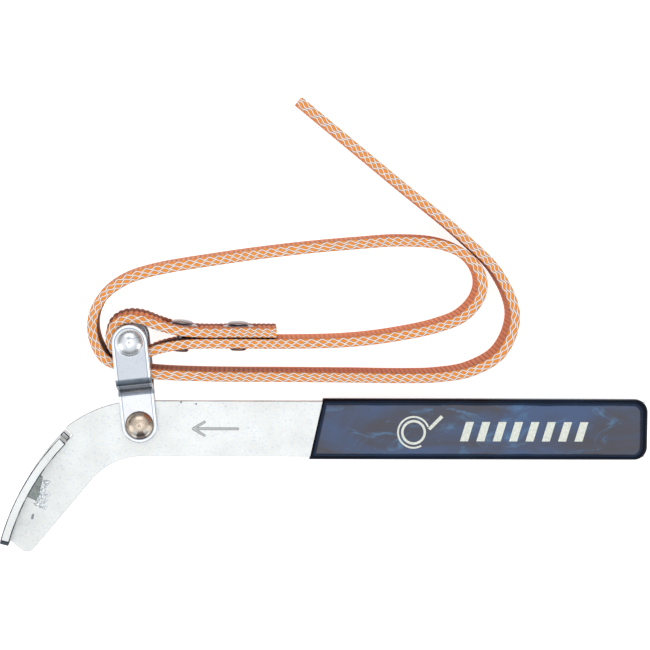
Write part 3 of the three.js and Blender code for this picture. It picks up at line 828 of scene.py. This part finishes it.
# ---- strap ---------------------------------------------------------------------------------
def strap_section():
    """The strap's section as rows of (through, upright, outward x2), and the girth at each."""
    t = STRAP_THICKNESS / 2
    w = STRAP_WIDTH / 2
    r = STRAP_CORNER
    quarter = []
    for a in np.linspace(0, t - r, 4)[:-1]:
        quarter.append((a, w, 0, 1))
    for angle in np.linspace(90, 0, 5):
        c, s = math.cos(math.radians(angle)), math.sin(math.radians(angle))
        quarter.append((t - r + r * c, w - r + r * s, c, s))
    for b in np.linspace(w - r, 0, 12)[1:]:
        quarter.append((t, b, 1, 0))
    half = quarter + [(a, -b, c, -s) for a, b, c, s in reversed(quarter[:-1])]
    loop = half + [(-a, b, -c, s) for a, b, c, s in reversed(half[1:-1])]
    loop = np.array(loop)
    step = np.linalg.norm(np.diff(np.vstack([loop, loop[:1]])[:, :2], axis=0), axis=1)
    girth = np.concatenate([[0], np.cumsum(step)])
    return loop, girth * strap_girth() / girth[-1]


SEAT_DEPTH = 0.5
SEAT_MARGIN = 0.2
SEAT_EASE = 2.5
SEAT_RISE = 3
SEAT_SKIN = 4


def pressed_seats(points):
    """Presses the lap's faces flat where the washers sit, and eases them out around."""
    for number, degrees in enumerate(LAP_RIVET_TILTS, 1):
        fronts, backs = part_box(f"washer_front_{number}"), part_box(f"washer_back_{number}")
        middle = (fronts[0] + fronts[1] + backs[0] + backs[1]) / 4
        tilt = math.radians(degrees)
        axis = np.array((-math.sin(tilt), math.cos(tilt), 0))
        centres = [(box[0] + box[1]) / 2 for box in (fronts, backs)]
        reach = abs((centres[0] - centres[1]).dot(Vector(axis))) / 2 - SEAT_DEPTH * MM
        offset = points - np.array(middle)
        depth = offset @ axis
        radial = np.linalg.norm(offset - depth[:, None] * axis, axis=1)
        ease = np.clip((radial - (WASHER_RADIUS + SEAT_MARGIN) * MM) / (SEAT_EASE * MM), 0, 1)
        limit = reach + ease ** 2 * SEAT_RISE * MM
        near = (np.abs(depth) < reach + SEAT_SKIN * MM) & (ease < 1)
        excess = np.where(near, np.maximum(np.abs(depth) - limit, 0), 0)
        points = points - (np.sign(depth) * excess)[:, None] * axis
    return points


RINGS_PER_RIB = 6
TANGENT_STEP = 0.4
SWELL_EASE = 1.2


def strap_piece(name, start, end, body, replaced, swell_from=EDGE_HALF, seats=False, lean=0):
    """A closed length of strap, ribbed across its faces. The eye swells more and leans."""
    rings = round((end - start) / RIB_PITCH * RINGS_PER_RIB)
    lengths = np.linspace(start, end, rings + 1)
    centre = route_at(lengths)
    ahead = route_at(np.clip(lengths + TANGENT_STEP, 0, STRAP_END))
    behind = route_at(np.clip(lengths - TANGENT_STEP, 0, STRAP_END))
    tangent = ahead - behind
    tangent /= np.linalg.norm(tangent, axis=1)[:, None]
    up = np.array((0.0, 0.0, 1.0))
    through = np.cross(tangent, up)
    through /= np.linalg.norm(through, axis=1)[:, None]
    section, girth = strap_section()
    count = len(section)
    half = strap_girth() / 4
    wrapped = np.abs((girth[:-1] + half) % (2 * half) - half)
    flat = np.clip((wrapped - swell_from) / SWELL_EASE, 0, 1)
    rib = np.abs(np.sin(np.pi * lengths / RIB_PITCH)) ** 0.7 - 1
    ribs = RIB_HEIGHT * np.interp(lengths, EYE_TURN, (1, 2, 2, 1))
    swell = (rib * ribs)[:, None] * flat[None, :]
    a = section[None, :, 0] + section[None, :, 2] * swell
    b = section[None, :, 1] + section[None, :, 3] * swell
    leaning = lean * np.interp(lengths, EYE_TURN, (0, 1, 1, 0))
    a = a + leaning[:, None] * (0.5 - b / STRAP_WIDTH)
    points = centre[:, None, :] + through[:, None, :] * a[..., None] + up * b[..., None]
    points = points.reshape(-1, 3) * MM + np.array(ORIGIN)
    if seats:
        points = pressed_seats(points)

    ring = np.arange(rings)[:, None] * count
    index = np.arange(count)[None, :]
    after = (index + 1) % count
    faces = np.stack([ring + index, ring + count + index, ring + count + after, ring + after],
                     axis=-1).reshape(-1, 4)
    mesh = bpy.data.meshes.new(name)
    mesh.from_pydata(points.tolist(), [], faces.tolist() + [
        list(range(count)), list(range(rings * count + count - 1, rings * count - 1, -1))])
    runs = np.stack([lengths[:-1], lengths[1:], lengths[1:], lengths[:-1]], axis=1)
    runs = np.repeat(runs, count, axis=0)
    rounds = np.stack([girth[:-1], girth[:-1], girth[1:], girth[1:]], axis=1)
    rounds = np.tile(rounds, (rings, 1))
    layer = mesh.uv_layers.new(name="weave")
    flat_uv = np.stack([runs.ravel(), rounds.ravel()], axis=1)
    caps = []
    for cap_length in (start, end):
        for k in range(count):
            caps.append((cap_length + section[k, 0], STRAP_WIDTH / 3 + section[k, 1] / 4))
    layer.data.foreach_set("uv", np.vstack([flat_uv, np.array(caps)]).astype(np.float32).ravel())
    mesh.validate()
    shade(mesh, 60)
    made = piece(name, mesh, WEBBING, body, "webbing", replaced)
    return made, centre * MM + np.array(ORIGIN), (end - start) * MM


eye, _, _ = strap_piece("strap_eye_woven", 0, LAP_END, "strap", "strap_eye",
                         swell_from=1.3, seats=True, lean=0.9)
loop, loop_path, loop_length = strap_piece("strap_loop_woven", LAP_END, TAIL_START,
                                           "strap", "strap_loop")
tail, tail_path, tail_length = strap_piece("strap_tail_woven", TAIL_START, STRAP_END,
                                           None, "strap_tail")
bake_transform(tail)


# ---- link ----------------------------------------------------------------------------------
def joggle(length, height):
    """Where a place `length` along the developed plate and `height` above its middle lies,
    as (forward, upward) in the link's own frame."""
    sine, cosine = math.sin(BEND_ANGLE), math.cos(BEND_ANGLE)
    low = PLATE_LOW + PLATE_THICKNESS / 2
    high = PLATE_HIGH + PLATE_THICKNESS / 2
    along = length - JOGGLE_START
    if along <= 0:
        return length, low + height
    if along <= BEND_LENGTH:
        turn = along / JOGGLE_RADIUS
        reach = JOGGLE_RADIUS - height
        return JOGGLE_START + reach * math.sin(turn), low + JOGGLE_RADIUS - reach * math.cos(turn)
    along -= BEND_LENGTH
    if along <= SLOPE_LENGTH:
        return (JOGGLE_START + JOGGLE_RADIUS * sine + along * cosine - height * sine,
                low + JOGGLE_RADIUS * (1 - cosine) + along * sine + height * cosine)
    along -= SLOPE_LENGTH
    if along <= BEND_LENGTH:
        turn = BEND_ANGLE - along / JOGGLE_RADIUS
        reach = JOGGLE_RADIUS + height
        return (JOGGLE_START + JOGGLE_RUN - reach * math.sin(turn),
                high - JOGGLE_RADIUS + reach * math.cos(turn))
    return JOGGLE_START + JOGGLE_RUN + along - BEND_LENGTH, high + height


def make_plate(name, side, replaced):
    half = LINK_WIDTH / 2
    outside = (arc(0, 0, half - PLATE_EDGE, 180, 360, 40)
               + arc(0, FLAT_PITCH, half - PLATE_EDGE, 0, 180, 40))
    holes = [arc(0, y, radius + PLATE_EDGE, 0, 360, 40)[:-1]
             for y, radius in ((0, PIVOT_HOLE), (FLAT_PITCH, PIN_HOLE))]
    bm = extruded([outside] + holes, PLATE_THICKNESS, PLATE_EDGE)
    stations = np.linspace(JOGGLE_START - 0.5, JOGGLE_START + 24, 50)
    for y in stations:
        everything = bm.verts[:] + bm.edges[:] + bm.faces[:]
        bmesh.ops.bisect_plane(bm, geom=everything, plane_co=(0, y * MM, 0), plane_no=(0, 1, 0))
    plan = bm.loops.layers.uv.new("plan")
    for corner in (corner for face in bm.faces for corner in face.loops):
        corner[plan].uv = (corner.vert.co.x / MM, corner.vert.co.y / MM)
    for v in bm.verts:
        forward, upward = joggle(v.co.y / MM, v.co.z / MM)
        v.co = Vector((v.co.x, forward * MM, upward * MM))
    if side < 0:
        bmesh.ops.scale(bm, vec=(1, 1, -1), verts=bm.verts)
        bmesh.ops.reverse_faces(bm, faces=bm.faces)
    bm.transform(LINK_PLACE)
    mesh = mesh_of(bm, name)
    shade(mesh, 45)
    return weighted(piece(name, mesh, SHEET_ZINC, "link", "link_zinc", replaced))


def dome_profile(shank, seat):
    """One rivet from pole to pole: dimpled domes on a plain shank."""
    sphere = (HEAD_RADIUS ** 2 + HEAD_HEIGHT ** 2) / (2 * HEAD_HEIGHT)
    top = seat + HEAD_HEIGHT
    dimple = [(0, top - 0.5), (0.35 * DIMPLE_RADIUS, top - 0.44),
              (0.8 * DIMPLE_RADIUS, top - 0.16)]
    rim = 0.35
    dome = []
    for i in range(25):
        r = DIMPLE_RADIUS * 1.15 + (HEAD_RADIUS - rim * 0.4 - DIMPLE_RADIUS * 1.15) * i / 24
        dome.append((r, top - sphere + math.sqrt(sphere ** 2 - r ** 2)))
    foot = [(HEAD_RADIUS, seat + rim), (HEAD_RADIUS - 0.06, seat + 0.1), (HEAD_RADIUS - 0.25, seat)]
    upper = dimple + dome + foot + [(shank, seat)]
    return upper + [(r, -z) for r, z in reversed(upper)]


def make_rivet(name, place, shank, seat, material, slot, body, replaced):
    bm = lathe(dome_profile(shank, seat))
    bm.transform(place)
    mesh = mesh_of(bm, name)
    shade(mesh, 60)
    return piece(name, mesh, material, body, slot, replaced)


pivot_low, pivot_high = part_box("pivot_rivet")
pin_low, pin_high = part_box("shackle_pin")
PIVOT_SEAT = (pivot_high.z - pivot_low.z) / MM / 2 - HEAD_HEIGHT
PIN_SEAT = (pin_high.z - pin_low.z) / MM / 2 - HEAD_HEIGHT
make_plate("link_plate_upper", 1, "link_plate_top")
make_plate("link_plate_lower", -1, "link_plate_bottom")
make_rivet("pivot_rivet_domed", LINK_PLACE, PIVOT_SHANK, PIVOT_SEAT, BRONZE, "pivot_bronze",
           "handle", "pivot_rivet")
make_rivet("shackle_pin_domed", PIN_PLACE, PIN_SHANK, PIN_SEAT, BRIGHT_ZINC, "bright_zinc",
           "link", "shackle_pin")
RIVET_EDGE = 0.15
TURNED_EDGE = 0.25
refined("spacer_tube", BRIGHT_ZINC, "bright_zinc", TURNED_EDGE)
for number in (1, 2):
    refined(f"lap_rivet_{number}", RIVET_STEEL, "rivet_steel", RIVET_EDGE)
    refined(f"washer_front_{number}", RIVET_STEEL, "rivet_steel", TURNED_EDGE)
    refined(f"washer_back_{number}", RIVET_STEEL, "rivet_steel", TURNED_EDGE)


# ---- handle --------------------------------------------------------------------------------
BAR_EDGE = 0.6
SHOE_EDGE = 0.45
refined("bar", ZINC, "zinc_plate", BAR_EDGE)
refined("shoe_top", ZINC, "zinc_plate", SHOE_EDGE)
refined("shoe_bottom", ZINC, "zinc_plate", SHOE_EDGE)


def shoe_point(radius, angle, z):
    a = math.radians(angle)
    return at(SHOE_CENTRE[0] + radius * math.cos(a), SHOE_CENTRE[1] + radius * math.sin(a), z)


WELD_WIDTHS = (1.6, 6.0)
WELD_HEIGHTS = (1.4, 3.6)
WELD_SINK = 0.15
WELD_INNER = SHOE_RADIUS - SHOE_THICKNESS
SPATTER_COUNT = 48
SPATTER_ARC = 7.2
SPATTER_REACH = 4.2


def between(ends, t):
    return ends[0] + (ends[1] - ends[0]) * t


def make_weld(name, side, replaced):
    """A wedge of weld in the corner between the shoe and the head: narrow towards the neck,
    wide and cut off short towards the toe, with a lumpy outer edge."""
    bm = bmesh.new()
    along_steps, across_steps = 60, 26
    rows = []
    for i in range(along_steps + 1):
        t = i / along_steps
        angle = between(WELD_ANGLES, t)
        ends = min(1.0, 9 * t) ** 0.5 * min(1.0, 16 * (1 - t)) ** 0.5
        row = []
        for j in range(across_steps + 1):
            w = j / across_steps
            wobble = noise.noise(Vector((7 * t, 3 * w, 5 * side)))
            width = between(WELD_WIDTHS, t ** 0.8)
            width *= 1 + 0.28 * noise.noise(Vector((9 * t, 2.5, side)))
            height = between(WELD_HEIGHTS, t) * (1 - w) ** 0.85 * ends * (1 + 0.22 * wobble)
            row.append(bm.verts.new(shoe_point(WELD_INNER + 0.1 - w * width, angle,
                                               side * (BAR_TOP - WELD_SINK + height))))
        rows.append(row)
    flats = [[bm.verts.new((v.co.x, v.co.y, at(0, 0, side * (BAR_TOP - 0.2)).z)) for v in row]
             for row in rows]
    for grid in (rows, flats):
        for low, high in zip(grid, grid[1:]):
            for a, b, c, d in zip(low, low[1:], high[1:], high):
                bm.faces.new((a, b, c, d))
    rim = (list(zip(rows[0], flats[0])) + [(r[-1], f[-1]) for r, f in zip(rows, flats)][1:]
           + list(zip(rows[-1], flats[-1]))[-2::-1]
           + [(r[0], f[0]) for r, f in zip(rows, flats)][-2:0:-1])
    for (a, b), (c, d) in zip(rim, rim[1:] + rim[:1]):
        bm.faces.new((a, b, d, c))
    face_outward(bm)
    mesh = mesh_of(bm, name)
    shade(mesh, 55)
    return piece(name, mesh, WELD_METAL, "handle", "weld_metal", replaced)


def make_spatter(name, side):
    """Plated spatter that ran out from the weld over the head's face."""
    rng = random.Random(23 + side)
    bm = bmesh.new()
    for i in range(SPATTER_COUNT):
        t = rng.random()
        away = WELD_INNER - between(WELD_WIDTHS, t ** 0.8) * 0.92
        away -= SPATTER_REACH * rng.random() ** 1.6
        centre = shoe_point(away, WELD_ANGLES[0] + SPATTER_ARC * t, side * (BAR_TOP + 0.05))
        size = rng.uniform(0.3, 0.85) * MM
        stretch = (rng.uniform(0.8, 2.4), rng.uniform(0.6, 1.1), rng.uniform(0.5, 0.9))
        turn = Matrix.Rotation(rng.uniform(-0.6, 1.4), 3, "Z")
        made = bmesh.ops.create_icosphere(bm, subdivisions=3, radius=size)
        for v in made["verts"]:
            lump = 1 + 0.35 * noise.noise(v.co * 1400 + Vector((i, 0, 0)))
            v.co = turn @ Vector([c * k * lump for c, k in zip(v.co, stretch)])
            v.co += centre
    mesh = mesh_of(bm, name)
    mesh.shade_smooth()
    return piece(name, mesh, BRIGHT_ZINC, "handle", "weld_metal")


make_weld("weld_bead_upper", 1, "weld_top")
make_weld("weld_bead_lower", -1, "weld_bottom")
make_spatter("weld_spatter_upper", 1)
make_spatter("weld_spatter_lower", -1)


GRIP_LIP = 1.0


def make_grip():
    r = GRIP_CORNER - GRIP_EDGE
    half = GRIP_WIDTH / 2 - GRIP_EDGE
    end = GRIP_END_X - GRIP_EDGE
    slant = math.tan(math.radians(GRIP_OPEN_SLANT))
    start = GRIP_OPEN_X + GRIP_LIP
    outline = [(start - half * slant, -half), (end - r, -half)]
    outline += arc(end - r, -half + r, r, -90, 0, 16)[1:]
    outline += arc(end - r, half - r, r, 0, 90, 16)
    outline += [(start + half * slant, half)]
    bm = extruded([outline], GRIP_THICKNESS, GRIP_EDGE, 8)
    bm.transform(Matrix.Translation(ORIGIN))
    mesh = mesh_of(bm, "grip_dipped")
    shade(mesh, 60)
    return weighted(piece("grip_dipped", mesh, VINYL, "handle", "vinyl_grip", "grip"))


PRINT_PROUD = 0.04
PRINT_DEPTH = 0.1
PRINT_CENTRE = (123, -1.2)
# each ring: outer and inner radius, start and end angle, steps
PRINT_RINGS = ((5.6, 4.5, 0, 360, 72), (7.4, 6.6, 20, 300, 60))
PRINT_ARM = ((129.4, 0.6), (130.6, -0.2), (136.4, 5.6), (135.2, 6.6))
PRINT_BAR = ((0, -5.2), (3.6, -5.2), (6.2, 3.6), (2.6, 3.6))
PRINT_BARS = 8
PRINT_BARS_X = 144
PRINT_PITCH = 7.4


def make_print_mark():
    """A plain pictogram, a filter held in a strap, and a row of slanted bars."""
    bm = bmesh.new()
    top = GRIP_THICKNESS / 2 + PRINT_PROUD

    def face(points):
        bm.faces.new([bm.verts.new(at(x, y, top)) for x, y in points])

    for outer, inner, *sweep in PRINT_RINGS:
        outer, inner = (arc(*PRINT_CENTRE, radius, *sweep) for radius in (outer, inner))
        for corners in zip(outer, outer[1:], inner[1:], inner):
            face(corners)
    face(PRINT_ARM)
    for i in range(PRINT_BARS):
        start = PRINT_BARS_X + PRINT_PITCH * i
        face([(start + x, y) for x, y in PRINT_BAR])
    face_outward(bm)
    for f in bm.faces:
        if f.normal.z < 0:
            f.normal_flip()
    solid = bmesh.ops.extrude_face_region(bm, geom=bm.faces[:])
    for v in solid["geom"]:
        if isinstance(v, bmesh.types.BMVert):
            v.co.z -= PRINT_DEPTH * MM
    face_outward(bm)
    mesh = mesh_of(bm, "grip_print")
    return piece("grip_print", mesh, PRINT_INK, "handle", "vinyl_grip")


make_grip()
make_print_mark()


# ---- floor and light -----------------------------------------------------------------------
GLOW_INNER = 0.30
GLOW_OUTER = 0.75
GLOW_STRENGTHS = (0.82, 0.42)
FLOOR_DROP = 0.02
# the sky's heights and its strengths there as the metal sees it, and what the camera sees
SKY_HEIGHTS = (0.15, 0.7)
SKY_STRENGTHS = (0.1, 0.95)
SKY_SEEN = 0.85


def make_stage():
    """A plain pale table that glows softly under the tool, so that shadows stay light."""
    bm = bmesh.new()
    bmesh.ops.create_grid(bm, x_segments=1, y_segments=1, size=4)
    floor = add("floor", mesh_of(bm, "floor"))
    floor.location.z = FLOOR_Z - FLOOR_DROP * MM
    s = Surface("floor", Base_Color=(0.55, 0.55, 0.55, 1), Roughness=0.9,
                Specular_IOR_Level=0.1, Emission_Color=(1, 1, 1, 1))
    away = s.vector_math("LENGTH", s.place())
    s.feed(s.shader.inputs["Emission Strength"],
           s.smooth(away, GLOW_INNER, GLOW_OUTER, *GLOW_STRENGTHS))
    floor.data.materials.append(s.material)


def area_light(name, place, aim, size, power):
    data = bpy.data.lights.new(name, "AREA")
    data.shape = "RECTANGLE"
    data.size, data.size_y = size
    data.energy = power
    light = add(name, data)
    light.location = place
    light.rotation_euler = (Vector(aim) - Vector(place)).to_track_quat("-Z", "Y").to_euler()


def make_world():
    """Pale to the eye, and darker near the horizon to what the metal reflects."""
    world = bpy.data.worlds.new("studio")
    world.use_nodes = True
    tree = world.node_tree
    background = tree.nodes["Background"]
    background.inputs[0].default_value = (0.93, 0.96, 1.0, 1)
    height = tree.nodes.new("ShaderNodeSeparateXYZ")
    tree.links.new(tree.nodes.new("ShaderNodeTexCoord").outputs["Generated"], height.inputs[0])
    rise = tree.nodes.new("ShaderNodeMapRange")
    rise.interpolation_type = "SMOOTHSTEP"
    tree.links.new(height.outputs[2], rise.inputs[0])
    for index, value in enumerate(SKY_HEIGHTS + SKY_STRENGTHS, 1):
        rise.inputs[index].default_value = value
    seen = tree.nodes.new("ShaderNodeMix")
    tree.links.new(tree.nodes.new("ShaderNodeLightPath").outputs["Is Camera Ray"], seen.inputs[0])
    tree.links.new(rise.outputs[0], seen.inputs[2])
    seen.inputs[3].default_value = SKY_SEEN
    tree.links.new(seen.outputs[0], background.inputs[1])
    bpy.context.scene.world = world


make_stage()
area_light("overhead", (0.05, -0.05, 1.35), (0, 0.02, 0), (1.2, 1.0), 3)
area_light("back_fill", (-0.1, 1.2, 0.9), (0, 0.05, 0), (1.3, 0.7), 4)
area_light("left_side", (-1.0, -0.45, 0.40), (0, 0, 0), (0.7, 0.5), 2)
area_light("right_side", (1.1, -0.45, 0.40), (0, 0, 0), (0.7, 0.5), 2)
make_world()
bpy.context.scene.view_settings.view_transform = "Standard"
